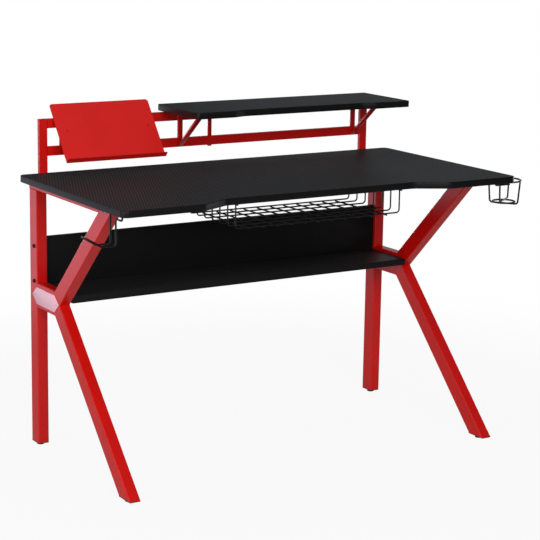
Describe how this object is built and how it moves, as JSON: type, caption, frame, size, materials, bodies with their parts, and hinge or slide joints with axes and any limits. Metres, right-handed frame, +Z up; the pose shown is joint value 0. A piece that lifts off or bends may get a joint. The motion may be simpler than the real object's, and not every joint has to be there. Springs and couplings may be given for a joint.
{
  "type": "gaming desk",
  "caption": "Gaming desk with K-shaped tube frames, a recessed board, a rail frame with a sliding monitor shelf and tablet rest, a wire basket, a headphone hook and a cup holder.",
  "frame": {"origin": "on the floor below the middle of the overall box, hook and cup holder included", "axes": "+X to the user's right, +Y to the back, +Z up; the front edge with its recess faces -Y"},
  "size_m": [1.353, 0.644, 0.931],
  "materials": {
    "red_powder_coat": "satin red powder coat on steel tube",
    "black_powder_coat": "satin black powder coat on steel wire",
    "carbon_laminate": "matt black twill-pattern laminate on particle board",
    "black_board": "matt black laminate on particle board",
    "black_edging": "matt black plastic edge band",
    "pale_plate": "pale satin lacquer on sheet steel",
    "black_bolt": "black oxide steel",
    "zinc_screw": "zinc-plated steel",
    "black_plastic": "moulded black plastic",
    "zinc_stud": "zinc-plated steel"
  },
  "bodies": {
    "desk": {"left_rear_post": "red_powder_coat", "right_rear_post": "red_powder_coat", "left_top_bar": "red_powder_coat", "right_top_bar": "red_powder_coat", "left_crossbar": "red_powder_coat", "right_crossbar": "red_powder_coat", "left_upper_leg": "red_powder_coat", "right_upper_leg": "red_powder_coat", "left_lower_leg": "red_powder_coat", "right_lower_leg": "red_powder_coat", "left_upper_post": "red_powder_coat", "right_upper_post": "red_powder_coat", "upper_rail": "red_powder_coat", "lower_rail": "red_powder_coat", "rail_tie": "red_powder_coat", "middle_stretcher": "black_powder_coat", "rear_stretcher": "black_powder_coat", "basket_long_wires": "black_powder_coat", "basket_cross_wires": "black_powder_coat", "basket_rims": "black_powder_coat", "headphone_hook": "black_powder_coat", "cup_top_ring": "black_powder_coat", "cup_floor_ring": "black_powder_coat", "cup_uprights": "black_powder_coat", "cup_arms": "black_powder_coat", "desktop_board": "carbon_laminate", "back_panel": "black_board", "lower_shelf": "black_board", "desktop_edge_band": "black_edging", "knee_plates": "pale_plate", "stretcher_bolts": "black_bolt", "upper_post_bolts": "black_bolt", "panel_bolts": "black_bolt", "lower_shelf_bolts": "black_bolt", "desktop_screws": "zinc_screw", "panel_screws": "zinc_screw", "accessory_screws": "zinc_screw", "knee_plate_rivets": "zinc_screw", "rear_foot_inserts": "black_plastic", "front_foot_inserts": "black_plastic"},
    "monitor_shelf": {"monitor_shelf_board": "carbon_laminate", "monitor_shelf_band": "black_edging", "shelf_uprights": "red_powder_coat", "shelf_struts": "red_powder_coat", "shelf_arms": "red_powder_coat", "shelf_screws": "zinc_screw"},
    "tablet_rest": {"rest_plate": "red_powder_coat", "rest_brackets": "red_powder_coat", "rest_screws": "red_powder_coat"},
    "rear_left_foot": {"rear_left_foot_pad": "black_plastic", "rear_left_foot_stud": "zinc_stud"},
    "rear_right_foot": {"rear_right_foot_pad": "black_plastic", "rear_right_foot_stud": "zinc_stud"},
    "front_left_foot": {"front_left_foot_pad": "black_plastic", "front_left_foot_stud": "zinc_stud"},
    "front_right_foot": {"front_right_foot_pad": "black_plastic", "front_right_foot_stud": "zinc_stud"}
  },
  "joints": [
    {"name": "monitor_shelf_slide", "type": "slide", "parent": "desk", "child": "monitor_shelf", "axis": [1, 0, 0], "range_m": [-0.012, 0.02]},
    {"name": "tablet_rest_slide", "type": "slide", "parent": "desk", "child": "tablet_rest", "axis": [1, 0, 0], "range_m": [-0.03, 0.012]},
    {"name": "rear_left_foot_screw", "type": "slide", "parent": "desk", "child": "rear_left_foot", "axis": [0, 0, -1], "range_m": [0, 0.01]},
    {"name": "rear_right_foot_screw", "type": "slide", "parent": "desk", "child": "rear_right_foot", "axis": [0, 0, -1], "range_m": [0, 0.01]},
    {"name": "front_left_foot_screw", "type": "slide", "parent": "desk", "child": "front_left_foot", "axis": [0, 0, -1], "range_m": [0, 0.01]},
    {"name": "front_right_foot_screw", "type": "slide", "parent": "desk", "child": "front_right_foot", "axis": [0, 0, -1], "range_m": [0, 0.01]}
  ]
}
